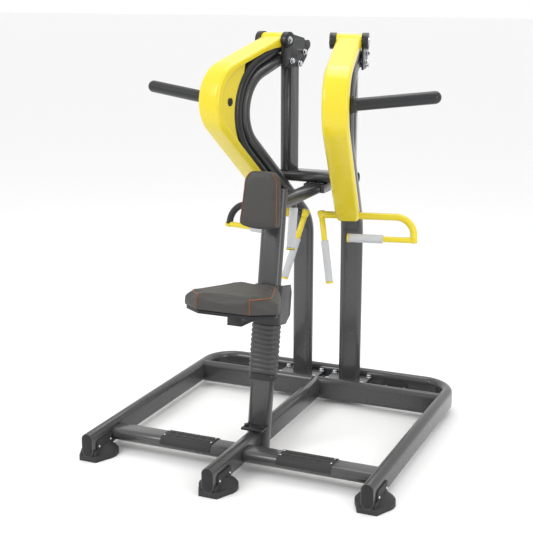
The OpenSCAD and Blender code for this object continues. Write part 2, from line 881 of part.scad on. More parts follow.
module row_grip(side) {
    color(grip_grey) handle_frame_place(side) translate([row_grip_from + weld, 0, -row_drop])
        rotate([0, 90, 0]) difference() {
            cylinder(d = row_grip_d, h = row_grip_len);
            translate([0, 0, -1]) cylinder(d = bar_d + 0.1, h = row_grip_len + 2);
        }
}

module drop_grip(side) {
    color(grip_grey) handle_frame_place(side) drop_place()
        translate([0, 0, drop_len - drop_grip_len - weld]) difference() {
            cylinder(d = drop_grip_d, h = drop_grip_len);
            translate([0, 0, -1]) cylinder(d = bar_d + 0.1, h = drop_grip_len + 2);
        }
}

module arm_tube_left() { arm_tube(-1); }
module arm_tube_right() { arm_tube(1); }
module arm_cover_left() { arm_cover(-1); }
module arm_cover_right() { arm_cover(1); }
module pivot_tube_left() { pivot_tube(-1); }
module pivot_tube_right() { pivot_tube(1); }
module pivot_bushes_left() { pivot_bushes(-1); }
module pivot_bushes_right() { pivot_bushes(1); }
module weight_horn_left() { weight_horn(-1); }
module weight_horn_right() { weight_horn(1); }
module handle_frame_left() { handle_frame(-1); }
module handle_frame_right() { handle_frame(1); }
module row_grip_left() { row_grip(-1); }
module row_grip_right() { row_grip(1); }
module drop_grip_left() { drop_grip(-1); }
module drop_grip_right() { drop_grip(1); }

base_loop();
centre_rail_front();
centre_rail_rear();
rear_crossmember();
front_crossmember_left();
front_crossmember_right();
tube_end_caps();
foot_front_left();
foot_front_centre();
foot_front_right();
foot_rear_left();
foot_rear_right();
foot_screws();
tread_left();
tread_right();
tread_screws();
upright_left();
upright_right();
column_seats();
column_bolts();
crossbar();
mast_left();
mast_right();
hub_plate_inner_left();
hub_plate_outer_left();
hub_plate_inner_right();
hub_plate_outer_right();
hub_bolts();
pivot_shaft_left();
pivot_shaft_right();
arm_bumpers();
centre_tube();
centre_grip();
seat_column();
column_clamp();
column_cover();
chest_pad_bracket();
chest_pad_board();
chest_pad();
seat_carriage();
seat_board();
seat_cushion();
pull_pin();
arm_tube_left();
arm_cover_left();
pivot_tube_left();
pivot_bushes_left();
weight_horn_left();
handle_frame_left();
row_grip_left();
drop_grip_left();
arm_tube_right();
arm_cover_right();
pivot_tube_right();
pivot_bushes_right();
weight_horn_right();
handle_frame_right();
row_grip_right();
drop_grip_right();
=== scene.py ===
import json
import math

import bpy
import bmesh
import numpy as np
from mathutils import Matrix, Vector
from mathutils.bvhtree import BVHTree


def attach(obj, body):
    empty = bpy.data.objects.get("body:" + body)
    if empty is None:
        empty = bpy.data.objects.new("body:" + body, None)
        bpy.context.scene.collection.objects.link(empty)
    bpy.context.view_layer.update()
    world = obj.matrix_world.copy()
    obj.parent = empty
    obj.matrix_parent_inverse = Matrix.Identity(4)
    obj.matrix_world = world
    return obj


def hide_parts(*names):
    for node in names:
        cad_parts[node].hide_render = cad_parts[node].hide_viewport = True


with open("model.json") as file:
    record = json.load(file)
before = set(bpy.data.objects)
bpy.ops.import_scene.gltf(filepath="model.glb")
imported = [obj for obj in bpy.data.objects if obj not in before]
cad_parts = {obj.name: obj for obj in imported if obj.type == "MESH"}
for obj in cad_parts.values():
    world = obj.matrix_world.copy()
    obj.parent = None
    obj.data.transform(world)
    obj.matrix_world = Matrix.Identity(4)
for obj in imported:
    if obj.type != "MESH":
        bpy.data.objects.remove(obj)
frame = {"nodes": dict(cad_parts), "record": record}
nodes = frame["nodes"]
MM = 0.001
SIDES = (("right", 1), ("left", -1))

# ---- materials ----


def principled(name, color, rough, metallic=0.0, coat=0.0, grain=None, mottle=0.0):
    """grain is (scale, bump distance in metres, strength); mottle varies the roughness a little."""
    m = bpy.data.materials.new(name)
    m.use_nodes = True
    nt = m.node_tree
    b = nt.nodes["Principled BSDF"]
    b.inputs["Base Color"].default_value = (*color, 1)
    b.inputs["Roughness"].default_value = rough
    b.inputs["Metallic"].default_value = metallic
    b.inputs["Coat Weight"].default_value = coat
    b.inputs["Coat Roughness"].default_value = 0.12
    b.inputs["Specular IOR Level"].default_value = 0.3
    place = nt.nodes.new("ShaderNodeTexCoord")
    if grain:
        scale, distance, strength = grain
        noise = nt.nodes.new("ShaderNodeTexNoise")
        noise.inputs["Scale"].default_value = scale
        noise.inputs["Detail"].default_value = 3
        bump = nt.nodes.new("ShaderNodeBump")
        bump.inputs["Strength"].default_value = strength
        bump.inputs["Distance"].default_value = distance
        nt.links.new(place.outputs["Object"], noise.inputs["Vector"])
        nt.links.new(noise.outputs["Fac"], bump.inputs["Height"])
        nt.links.new(bump.outputs["Normal"], b.inputs["Normal"])
    if mottle:
        soft = nt.nodes.new("ShaderNodeTexNoise")
        soft.inputs["Scale"].default_value = 9
        soft.inputs["Detail"].default_value = 4
        span = nt.nodes.new("ShaderNodeMapRange")
        span.inputs["To Min"].default_value = max(0.02, rough - mottle)
        span.inputs["To Max"].default_value = min(1, rough + mottle)
        nt.links.new(place.outputs["Object"], soft.inputs["Vector"])
        nt.links.new(soft.outputs["Fac"], span.inputs["Value"])
        nt.links.new(span.outputs["Result"], b.inputs["Roughness"])
    return m


# colour, roughness, metallic, coat, grain, mottle
FINISHES = {
    "frame_paint": ((0.055, 0.055, 0.057), 0.28, 0.1, 0.5, (900, 0.0002, 0.1), 0.05),
    "dark_paint": ((0.017, 0.0175, 0.019), 0.38, 0.0, 0.25, (900, 0.0002, 0.1), 0.05),
    "arm_yellow": ((0.70, 0.565, 0.018), 0.28, 0.0, 0.5, (700, 0.0002, 0.08), 0.04),
    "foot_rubber": ((0.032, 0.032, 0.033), 0.62, 0.0, 0.0, (1400, 0.0003, 0.25), 0.06),
    "black_plastic": ((0.016, 0.016, 0.018), 0.45, 0.0, 0.0, (1200, 0.0002, 0.2), 0.05),
    "ribbed_plastic": ((0.062, 0.062, 0.063), 0.42, 0.0, 0.1, (1200, 0.0002, 0.2), 0.05),
    "bush_plastic": ((0.05, 0.05, 0.052), 0.4, 0.0, 0.0, (900, 0.0002, 0.1), 0.04),
    "fastener_steel": ((0.62, 0.63, 0.65), 0.26, 1.0, 0.0, (600, 0.0001, 0.1), 0.06),
    "grip_rubber": ((0.50, 0.51, 0.53), 0.55, 0.0, 0.0, (1600, 0.0003, 0.35), 0.05),
    "pad_vinyl": ((0.05, 0.048, 0.044), 0.5, 0.0, 0.0, (420, 0.0006, 0.4), 0.06),
    "seat_piping": ((0.19, 0.058, 0.016), 0.45, 0.0, 0.1, (800, 0.0003, 0.2), 0.04),
    "chest_piping": ((0.17, 0.055, 0.022), 0.45, 0.0, 0.1, (800, 0.0003, 0.2), 0.04),
}
MAT = {name: principled(name, *finish) for name, finish in FINISHES.items()}


def paint(obj, key):
    obj.data.materials.clear()
    obj.data.materials.append(MAT[key])
    return obj


# ---- frames of reference, the same as the CAD source, in millimetres ----

HUB_X, HUB_Y = 168, 327
SPLAY = math.radians(13)
LOW = math.radians(42.6)
UP = math.radians(18.5)
COVER_UP = math.radians(16.3)


def turn(axis, degrees):
    return Matrix.Rotation(math.radians(degrees), 4, axis)


def shift(x, y, z):
    return Matrix.Translation((x, y, z))


METRES = Matrix.Scale(MM, 4)


def arm_plane(side):
    """The arm's own plane in millimetres, mirrored for the left side."""
    m = shift(HUB_X, HUB_Y, 0) @ Matrix.Rotation(SPLAY, 4, "Z")
    return m if side > 0 else Matrix.Scale(-1, 4, (1, 0, 0)) @ m


def arm_frame(side):
    return METRES @ arm_plane(side)


def at(t, z, x=0):
    return shift(x, -t, z)


COLUMN = METRES @ shift(0, -237.4, 0) @ turn("X", -10)
SEAT = METRES @ shift(0, -552, 745) @ turn("X", -4.5)


def horn_axis(side):
    return arm_frame(side) @ at(355, 1404) @ turn("Y", -6.2) @ turn("Y", 90)


def handle_place(side):
    return arm_frame(side) @ at(-70, 888) @ turn("X", -17)


def drop_place(side):
    return handle_place(side) @ shift(-117, 0, 0) @ turn("Y", -9.5) @ Matrix.Scale(-1, 4, (0, 0, 1))


# ---- mesh building ----


def emit(name, verts, faces, place, material, body, sharp=35, bevel=0.0, replaced=(), slot=None):
    """Makes a piece from points in a frame of reference, in millimetres."""
    mesh = bpy.data.meshes.new(name)
    pts = [place @ Vector(v) for v in verts]
    if place.determinant() < 0:
        faces = [list(reversed(f)) for f in faces]
    mesh.from_pydata([tuple(p) for p in pts], [], [list(f) for f in faces])
    obj = bpy.data.objects.new(name, mesh)
    bpy.context.scene.collection.objects.link(obj)
    bm = bmesh.new()
    bm.from_mesh(mesh)
    bmesh.ops.remove_doubles(bm, verts=bm.verts, dist=1e-6)
    bmesh.ops.recalc_face_normals(bm, faces=bm.faces)
    bm.to_mesh(mesh)
    bm.free()
    if material:
        paint(obj, material)
    smooth(obj, sharp)
    if bevel:
        add_bevel(obj, bevel, sharp)
    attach(obj, body)
    if replaced:
        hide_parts(*replaced)
    return obj


def smooth(obj, degrees=35):
    obj.data.shade_smooth()
    obj.data.set_sharp_from_angle(angle=math.radians(degrees))


def add_bevel(obj, width, degrees=35):
    b = obj.modifiers.new("edge", "BEVEL")
    b.width = width * MM
    b.segments = 2
    b.limit_method = "ANGLE"
    b.angle_limit = math.radians(degrees)
    b.harden_normals = True
    b.use_clamp_overlap = True
    return b


def join_parts(parts):
    """[(verts, faces, matrix in millimetres or None)] as one list of points and faces."""
    verts, faces = [], []
    for v, f, m in parts:
        base = len(verts)
        verts += [tuple(m @ Vector(p)) if m else tuple(p) for p in v]
        flip = m is not None and m.determinant() < 0
        faces += [[base + i for i in (reversed(g) if flip else g)] for g in f]
    return verts, faces


def loft(rings, caps=True, closed=False):
    """Skins rings that have the same number of points."""
    n = len(rings[0])
    verts = [tuple(p) for r in rings for p in r]
    faces = []
    count = len(rings)
    for i in range(count if closed else count - 1):
        a, b = i * n, (i + 1) % count * n
        for k in range(n):
            l = (k + 1) % n
            faces.append([a + k, a + l, b + l, b + k])
    if caps and not closed:
        faces.append(list(range(n))[::-1])
        faces.append([(count - 1) * n + k for k in range(n)])
    return verts, faces


def lathe(profile, steps=64):
    """[(radius, height)] turned round z; a radius of 0 at either end closes it."""
    verts, faces, rows = [], [], []
    for r, z in profile:
        if r < 1e-6:
            rows.append([len(verts)] * steps)
            verts.append((0, 0, z))
        else:
            rows.append([len(verts) + k for k in range(steps)])
            verts += [(r * math.cos(2 * math.pi * k / steps), r * math.sin(2 * math.pi * k / steps), z)
                      for k in range(steps)]
    for a, b in zip(rows, rows[1:]):
        for k in range(steps):
            l = (k + 1) % steps
            face = []
            for i in (a[k], a[l], b[l], b[k]):
                if i not in face:
                    face.append(i)
            if len(face) > 2:
                faces.append(face)
    if profile[0][0] > 1e-6:
        faces.append(rows[0][::-1])
    if profile[-1][0] > 1e-6:
        faces.append(list(rows[-1]))
    return verts, faces


def rounded(profile, radius, steps=4):
    """Rounds the inner corners of a profile of (radius, height) points."""
    out = [profile[0]]
    for p, q, r in zip(profile, profile[1:], profile[2:]):
        p, q, r = Vector(p), Vector(q), Vector(r)
        a, b = (p - q), (r - q)
        cut = min(radius, a.length * 0.45, b.length * 0.45)
        a, b = q + a.normalized() * cut, q + b.normalized() * cut
        for k in range(steps + 1):
            s = k / steps
            out.append(tuple((a.lerp(q, s)).lerp(q.lerp(b, s), s)))
    out.append(profile[-1])
    return out


def oval_ring(w, d, steps=14):
    """Flat-oval outline, w along x and d along y."""
    pts = []
    for side in (1, -1):
        for k in range(steps + 1):
            a = -math.pi / 2 + math.pi * k / steps
            pts.append((side * ((w - d) / 2 + d / 2 * math.cos(a)), side * d / 2 * math.sin(a)))
    return pts


def soft_ring(w, d, ro, ri=None, steps=7):
    """Rounded rectangle; ro rounds the corners at -y, ri those at +y."""
    ri = ro if ri is None else ri
    pts = []
    for sx, sy, r in ((1, -1, ro), (1, 1, ri), (-1, 1, ri), (-1, -1, ro)):
        start = {(1, -1): -90, (1, 1): 0, (-1, 1): 90, (-1, -1): 180}[(sx, sy)]
        for k in range(steps + 1):
            a = math.radians(start + 90 * k / steps)
            pts.append((sx * (w / 2 - r) + r * math.cos(a), sy * (d / 2 - r) + r * math.sin(a)))
    return pts


def path_points(start, heading, moves, step=9):
    """Points [(t, z, heading)] along runs and bends in the arm plane. heading is the angle of travel above
    forward; a move is ('run', length) or ('bend', radius, angle), where a positive angle turns upwards."""
    t, z = start
    out = [(t, z, heading)]
    for move in moves:
        if move[0] == "run":
            n = max(1, int(move[1] / 60))
            for k in range(1, n + 1):
                d = move[1] * k / n
                out.append((t + d * math.cos(heading), z + d * math.sin(heading), heading))
            t, z = out[-1][:2]
        else:
            r, a = move[1], move[2]
            s = 1 if a > 0 else -1
            cx, cz = t - s * r * math.sin(heading), z + s * r * math.cos(heading)
            n = max(4, int(abs(a) * r / step))
            for k in range(1, n + 1):
                h = heading + a * k / n
                out.append((cx + s * r * math.sin(h), cz - s * r * math.cos(h), h))
            t, z = out[-1][:2]
            heading += a
    return out


def plane_sweep(points, ring_for):
    """Sweeps a ring (x across the arm plane, y towards the travel's left) along points in the arm plane."""
    rings = []
    for i, (t, z, h) in enumerate(points):
        nt, nz = -math.sin(h), math.cos(h)
        rings.append([(x, -(t + y * nt), z + y * nz) for x, y in ring_for(i)])
    return loft(rings)


def hexagon(af, h, chamfer=1.2):
    """Bolt head standing on z = 0, with a chamfered crown and a washer face."""
    r = af / math.sqrt(3)
    rings = []
    for radius, z in ((r * 0.97, 0), (r, 0.6), (r, h - chamfer), (r * 0.9, h)):
        rings.append([(radius * math.cos(math.radians(60 * k)), radius * math.sin(math.radians(60 * k)), z)
                      for k in range(6)])
    return loft(rings)


def screw_stack(head_af, head_h, washer_r, washer_t=2):
    """Washer with a bolt head on it, standing on z = 0."""
    washer = lathe(rounded([(0, 0), (washer_r, 0), (washer_r, washer_t), (0, washer_t)], 0.5, 2), 36)
    v, f = hexagon(head_af, head_h)
    return [(*washer, Matrix.Identity(4)), (v, f, shift(0, 0, washer_t))]


# ---- CAD nodes that stay as they are get their finish and softened edges ----

SLOT_OF = {s["node"]: s["material_slot"] for s in frame["record"]["subparts"]}
for name, obj in nodes.items():
    paint(obj, SLOT_OF[name])
    weld = obj.modifiers.new("weld", "WELD")
    weld.merge_threshold = 0.00002
    obj.data.shade_smooth()
    obj.data.set_sharp_from_angle(angle=math.radians(32))
    add_bevel(obj, 1.0, 32)

# ---- bent uprights and arm tubes ----

FOOT_T = 228
KNEE = Vector((406, 1418))
LOW_DIR = Vector((-math.cos(LOW), -math.sin(LOW)))
LOW_OUT = Vector((math.sin(LOW), -math.cos(LOW)))
UP_DIR = Vector((-math.cos(UP), math.sin(UP)))
UP_OUT = Vector((math.sin(UP), math.cos(UP)))
TURN = math.pi - LOW - UP
BEND = 170
KNEE_MID = KNEE + (LOW_DIR + UP_DIR).normalized() * BEND / math.cos(TURN / 2)
FOOT_Z = KNEE.y - (FOOT_T + KNEE.x) * math.tan(LOW)
FOOT_TAN = BEND * math.tan((math.pi / 2 - LOW) / 2)
KNEE_TAN = BEND * math.tan(TURN / 2)
BOTTOM = 92
ARM_BEND = BEND + 56
ARM_RUN = 452
LOW_END = KNEE_MID + ARM_BEND * LOW_OUT + ARM_RUN * LOW_DIR
ARM_UP = KNEE_MID + ARM_BEND * UP_OUT
TUBE = oval_ring(100, 50)

for label, side in SIDES:
    place = arm_frame(side)
    steps = [("run", FOOT_Z - FOOT_TAN - BOTTOM), ("bend", BEND, LOW - math.pi / 2),
             ("run", (KNEE.x + FOOT_T) / math.cos(LOW) - FOOT_TAN - KNEE_TAN), ("bend", BEND, TURN),
             ("run", (KNEE.x + 50) / math.cos(UP) - KNEE_TAN)]
    tube = plane_sweep(path_points((-FOOT_T, BOTTOM), math.pi / 2, steps), lambda i: TUBE)
    emit(f"upright_tube_{label}", *tube, place, "frame_paint", "frame", replaced=[f"upright_{label}"])
    pts = path_points(LOW_END, LOW, [("run", ARM_RUN), ("bend", ARM_BEND, TURN),
                                     ("run", (ARM_UP.x - 4) / math.cos(UP))])
    tube = plane_sweep(pts, lambda i: TUBE)
    rim = plane_sweep([(*(LOW_END + 1.5 * LOW_DIR), LOW), (*(LOW_END - 4 * LOW_DIR), LOW)],
                      lambda i: oval_ring(97, 47) if i == 0 else TUBE)
    emit(f"arm_tube_mesh_{label}", *join_parts([(*tube, None), (*rim, None)]), place, "dark_paint",
         f"arm_{label}", replaced=[f"arm_tube_{label}"])

# ---- yellow covers ----

COVER_MID = Vector((292, 1403))
COVER_OUT = Vector((math.sin(COVER_UP), math.cos(COVER_UP)))
COVER_TURN = math.pi - LOW - COVER_UP
COVER_R = 164
COVER_W = 106


def step_between(s, a, b):
    u = min(1, max(0, (s - a) / (b - a)))
    return u * u * (3 - 2 * u)


for label, side in SIDES:
    place = arm_frame(side)
    body = f"arm_{label}"
    foot = COVER_MID + COVER_R * LOW_OUT
    low_len = (LOW_END - foot).dot(LOW_DIR) - 30
    start = foot + low_len * LOW_DIR
    head = COVER_MID + COVER_R * COVER_OUT
    head_len = (head.x - 16) / math.cos(COVER_UP)
    pts = path_points(start, LOW, [("run", low_len), ("bend", COVER_R, COVER_TURN), ("run", head_len)], 5)
    dist = [0.0]
    for a, b in zip(pts, pts[1:]):
        dist.append(dist[-1] + math.hypot(b[0] - a[0], b[1] - a[1]))
    arc0, arc1 = low_len, low_len + COVER_R * COVER_TURN

    def section(i):
        s = dist[i]
        grow = step_between(s, arc0 - 120, arc0 + 30) - step_between(s, arc1 - 50, arc1 + 40)
        deep = step_between(s, dist[-1] - 95, dist[-1] - 20)
        d = 27 + 13 * grow + 22 * deep
        squeeze = 1 - 0.10 * (1 - step_between(s, 0, 10))
        ring = soft_ring(COVER_W, d, 17, 4 + 8 * grow + 4 * deep)
        return [(x * squeeze, d / 2 + y) for x, y in ring]

    band = plane_sweep(pts, section)
    emit(f"cover_front_{label}", *band, place, "arm_yellow", body, sharp=50, bevel=2.0,
         replaced=[f"arm_cover_{label}"])

    # recessed plates that close the sides between the front band and the arm tube
    tube_line = path_points(LOW_END + 14 * LOW_OUT, LOW,
                            [("run", ARM_RUN), ("bend", ARM_BEND + 14, TURN), ("run", 150)], 4)
    near = [Vector(p[:2]) for p in tube_line]
    strip = []
    for t, z, h in pts:
        p = Vector((t - 9 * math.sin(h), z + 9 * math.cos(h)))
        full = step_between(p.x, 245, 300) if p.y > 1403 else step_between(p.x, 300, 345)
        if full > 0:
            q = min(near, key=lambda v: (v - p).length)
            strip.append((p, p.lerp(q, 0.03 + 0.97 * full)))
    plates = []
    for x in (-37, 33):
        rings = [[(x, -p.x, p.y), (x + 4, -p.x, p.y), (x + 4, -q.x, q.y), (x, -q.x, q.y)] for p, q in strip]
        plates.append((*loft(rings), None))
    emit(f"cover_cheeks_{label}", *join_parts(plates), place, "arm_yellow", body, sharp=30)
    bolt = lathe(rounded([(0, 0), (13.5, 0), (13.5, 5), (8, 8.5), (0, 8.5)], 2.5), 48)
    socket = hexagon(10, 2.4, 0.6)
    emit(f"cover_bolt_{label}", *join_parts([(*bolt, None), (*socket, shift(0, 0, 7.6))]),
         place @ at(357, 1406, -37) @ turn("Y", -90), "black_plastic", body, sharp=30)


def pipe(points, r, steps=32, taper=1.2):
    """Round bar along a 3-D line, with its end edges turned in a little."""
    pts3 = [Vector(p) for p in points]
    last = len(pts3) - 1
    tangents = [(pts3[min(i + 1, last)] - pts3[max(i - 1, 0)]).normalized() for i in range(last + 1)]
    up = tangents[0].orthogonal().normalized()
    rings = []

    def ring(p, t, radius):
        side = t.cross(up)
        return [tuple(p + radius * (math.cos(a) * up + math.sin(a) * side))
                for a in (2 * math.pi * k / steps for k in range(steps))]

    for i, (p, t) in enumerate(zip(pts3, tangents)):
        up = (up - up.dot(t) * t).normalized()
        if i == 0:
            rings.append(ring(p, t, r - taper))
            rings.append(ring(p + taper * t, t, r))
        elif i == last:
            rings.append(ring(p - taper * t, t, r))
            rings.append(ring(p, t, r - taper))
        else:
            rings.append(ring(p, t, r))
    return loft(rings)


# ---- handles and grips ----

for label, side in SIDES:
    place, body = handle_place(side), f"arm_{label}"
    line = [(x, 0, 0) for x in (-117, -60, 0, 60, 120, 180)]
    line += [(207 + 80 * math.sin(a), 0, -80 + 80 * math.cos(a))
             for a in (math.radians(7.5 * k) for k in range(13))]
    line += [(287, 0, -98)]
    emit(f"handle_cross_tube_{label}", *pipe(line, 15.5, 40), place,
         "arm_yellow" if side > 0 else "dark_paint", body, sharp=60,
         replaced=[f"handle_frame_{label}"], slot="arm_yellow" if side > 0 else "dark_paint")
    row = pipe([(8, 0, -98), (100, 0, -98), (200, 0, -98), (303, 0, -98)], 12.5)
    cap = lathe(rounded([(0, 0), (15, 0), (19, 2), (19, 9), (0, 9)], 2), 48)
    under = lathe(rounded([(0, 0), (15.5, 0), (15.5, 9), (10, 14), (0, 14)], 4), 48)
    rows = join_parts([(*row, None), (*cap, shift(-1, 0, -98) @ turn("Y", 90)),
                       (*under, shift(287, 0, -98) @ turn("X", 180))])
    emit(f"row_bar_{label}", *rows, place, "arm_yellow", body, sharp=40)
    grip = lathe(rounded([(12.6, 0.2), (18, 0.2), (19, 2.5), (19, 6), (18.4, 7.4), (18.6, 12), (18.6, 136),
                          (18.4, 140.6), (19, 142), (19, 145.5), (18, 147.9), (12.6, 147.9)], 1.2, 3), 56)
    emit(f"row_grip_mesh_{label}", *grip, place @ shift(8, 0, -98) @ turn("Y", 90), "grip_rubber", body,
         sharp=50, replaced=[f"row_grip_{label}"])
    drop = drop_place(side)
    bar = pipe([(0, 0, 0), (0, 0, 100), (0, 0, 200), (0, 0, 297)], 12.5)
    boss = lathe(rounded([(0, -17), (15, -17), (18, -8), (16, 8), (13.5, 16), (0, 16)], 4), 48)
    end = lathe(rounded([(0, 296), (17, 296), (17, 302), (13, 305), (0, 305)], 2), 48)
    emit(f"drop_bar_{label}", *join_parts([(*bar, None), (*boss, None), (*end, None)]), drop, "arm_yellow",
         body, sharp=45)
    grip = lathe(rounded([(12.6, 0), (15.6, 0), (16.6, 2.5), (16.6, 6), (16, 7.5), (16.2, 12), (16.2, 168),
                          (16, 172), (16.6, 174), (16.6, 177.5), (15.6, 179.9), (12.6, 179.9)], 1.2, 3), 56)
    emit(f"drop_grip_mesh_{label}", *grip, drop @ shift(0, 0, 116), "grip_rubber", body, sharp=50,
         replaced=[f"drop_grip_{label}"])

    # weight horn with its collar
    horn = [(0, -40), (15, -40), (15, 41.2), (28, 41.2), (34, 45), (34, 69), (31.5, 74),
            (25, 74), (25, 374)]
    horn = rounded(horn, 2.5) + [(25 * math.cos(a), 375 + 25 * math.sin(a))
                                 for a in (math.radians(6 * k) for k in range(1, 15))] + [(0, 400)]
    emit(f"weight_horn_mesh_{label}", *lathe(horn, 72), horn_axis(side), "dark_paint", body, sharp=40,
         replaced=[f"weight_horn_{label}"])
    # pad that the horn stands on
    block = join_parts([(*loft([[(x * k, y * k, z) for x, y in soft_ring(84, 66, 10)]
                                for z, k in ((-2, 1), (24, 1), (27.5, 0.985), (29, 0.95))]), None)])
    emit(f"horn_pad_{label}", *block, horn_axis(side) @ shift(0, 0, 9.3), "dark_paint", body, sharp=40)

# ---- fixed centre grip ----

STEM = METRES @ shift(0, 148, 1000) @ turn("X", -10.6) @ Matrix.Scale(-1, 4, (0, 0, 1))
grip = lathe(rounded([(12.6, 44), (17, 44), (18.5, 47), (18.5, 50), (18, 52), (18.1, 60), (18.1, 202),
                      (18, 206), (18.5, 208), (18.5, 211), (17, 213.9), (12.6, 213.9)], 1.2, 3), 56)
emit("centre_grip_mesh", *grip, STEM, "grip_rubber", "frame", sharp=50, replaced=["centre_grip"])
end = lathe(rounded([(0, 213.8), (19.6, 213.8), (19.6, 220), (15, 223.5), (0, 223.5)], 2), 48)
emit("centre_grip_ring", *end, STEM, "arm_yellow", "frame", sharp=45)

# ---- ribbed cover on the seat column ----

rings = []
for k in range(201):
    z = 334 + k
    wave = 0.5 - 0.5 * math.cos(2 * math.pi * (k - 2) / 20)
    grow = 16 + 8 * wave ** 0.5
    if k in (0, 200):
        grow = 8
    rings.append([(x, y, z) for x, y in oval_ring(100 + grow, 50 + grow)])
emit("ribbed_cover", *loft(rings), COLUMN, "ribbed_plastic", "frame", sharp=60, replaced=["column_cover"],
     slot="black_plastic")

# ---- bolts ----

bolts = []
for label, side in SIDES:
    for t, z in ((-132, 1581), (-38, 1548), (-95, 1534)):
        for x, a in ((62, 90), (-62, -90)):
            spot = arm_plane(side) @ at(t, z, x) @ turn("Y", a)
            bolts += [(v, f, spot @ m) for v, f, m in screw_stack(19, 10, 13)]
emit("hub_bolt_heads", *join_parts(bolts), METRES, "fastener_steel", "frame", sharp=30, bevel=0.4,
     replaced=["hub_bolts"])
bolts = []
REAR_Y = 621
FLANGE_Y = REAR_Y - 25 - 6 - 62
COLUMN_X = HUB_X - FOOT_T * math.sin(SPLAY)
for label, side in SIDES:
    plate = loft([[(x, y, z) for x, y in soft_ring(190, 124, 9)] for z in (84.1, 91.9)])
    emit(f"flange_plate_{label}", *plate, METRES @ shift(side * COLUMN_X, FLANGE_Y, 0), "frame_paint",
         "frame", sharp=40, bevel=1.0)
for side in (1, -1):
    for x in (-84, 84):
        for y in (-52, 52):
            spot = shift(side * COLUMN_X + x, FLANGE_Y + y, BOTTOM)
            bolts += [(v, f, spot @ m) for v, f, m in screw_stack(18, 9, 13)]
            bolts.append((*hexagon(18, 9), spot @ shift(0, 0, -17) @ turn("X", 180)))
emit("flange_bolt_heads", *join_parts(bolts), METRES, "fastener_steel", "frame", sharp=30, bevel=0.4,
     replaced=["column_bolts"])

EAR_X = 33.05
screws = []
pan = lathe([(0, -0.5), (5.6, -0.5), (5.6, 1.2), (5.0, 2.6), (3.4, 3.6), (1.9, 3.9), (1.6, 2.6),
             (0, 2.5)], 32)
for x, y in ((-590.5, -591), (0, -697), (590.5, -591)):
    for s in (-1, 1):
        for along in (39, 126):
            screws.append((*pan, shift(x + s * EAR_X, y + along, 57) @ turn("Y", s * 90)))
for x in (-323, 323):
    for s in (-1, 1):
        for along in (-47, 40):
            spot = shift(x - along * math.copysign(1, x), REAR_Y + s * EAR_X, 57)
            screws.append((*pan, spot @ turn("X", -s * 90)))
emit("foot_pan_screws", *join_parts(screws), METRES, "fastener_steel", "frame", sharp=50,
     replaced=["foot_screws"])
screws = []
for x in (-223, 285):
    for s in (-1, 1):
        for y in (-22, 22):
            screws.append((*pan, shift(x + s * 105, -401 + y, 97) @ Matrix.Scale(0.75, 4)))
emit("tread_pan_screws", *join_parts(screws), METRES, "fastener_steel", "frame", sharp=50,
     replaced=["tread_screws"])

# ---- pull pin knob ----

knob = [(0, 0), (6, 0), (6, 74), (11, 76), (11, 80), (14.5, 82), (15, 86), (13.6, 89), (15, 92), (13.6, 95),
        (15, 98), (14.6, 102), (11, 106), (0, 106)]
emit("pull_knob", *lathe(rounded(knob, 1.6, 3), 48), COLUMN @ shift(0, 25.3, 664) @ turn("X", -90),
     "fastener_steel", "pull_pin", sharp=45, replaced=["pull_pin"])

# ---- cushions ----


def outline_points(corners, radius, step=8):
    """Closed outline through corners, with the corners rounded and points about a step apart."""
    pts = [Vector(c) for c in corners]
    out = []
    n = len(pts)
    for i in range(n):
        p, q, r = pts[i - 1], pts[i], pts[(i + 1) % n]
        rad = radius[i] if isinstance(radius, (list, tuple)) else radius
        cut = min(rad, (p - q).length * 0.45, (r - q).length * 0.45)
        a, b = q + (p - q).normalized() * cut, q + (r - q).normalized() * cut
        for k in range(6):
            s = k / 5
            out.append((a.lerp(q, s)).lerp(q.lerp(b, s), s))
    dense = []
    for a, b in zip(out, out[1:] + out[:1]):
        m = max(1, int((b - a).length / step))
        dense += [a.lerp(b, k / m) for k in range(m)]
    return dense


def resample(points, count):
    """A closed line as count points evenly along it, from the same start."""
    loop = points + points[:1]
    lengths = [0.0]
    for a, b in zip(loop, loop[1:]):
        lengths.append(lengths[-1] + (b - a).length)
    out = []
    j = 0
    for k in range(count):
        d = lengths[-1] * k / count
        while lengths[j + 1] < d:
            j += 1
        s = (d - lengths[j]) / max(1e-9, lengths[j + 1] - lengths[j])
        out.append(loop[j].lerp(loop[j + 1], s))
    return out


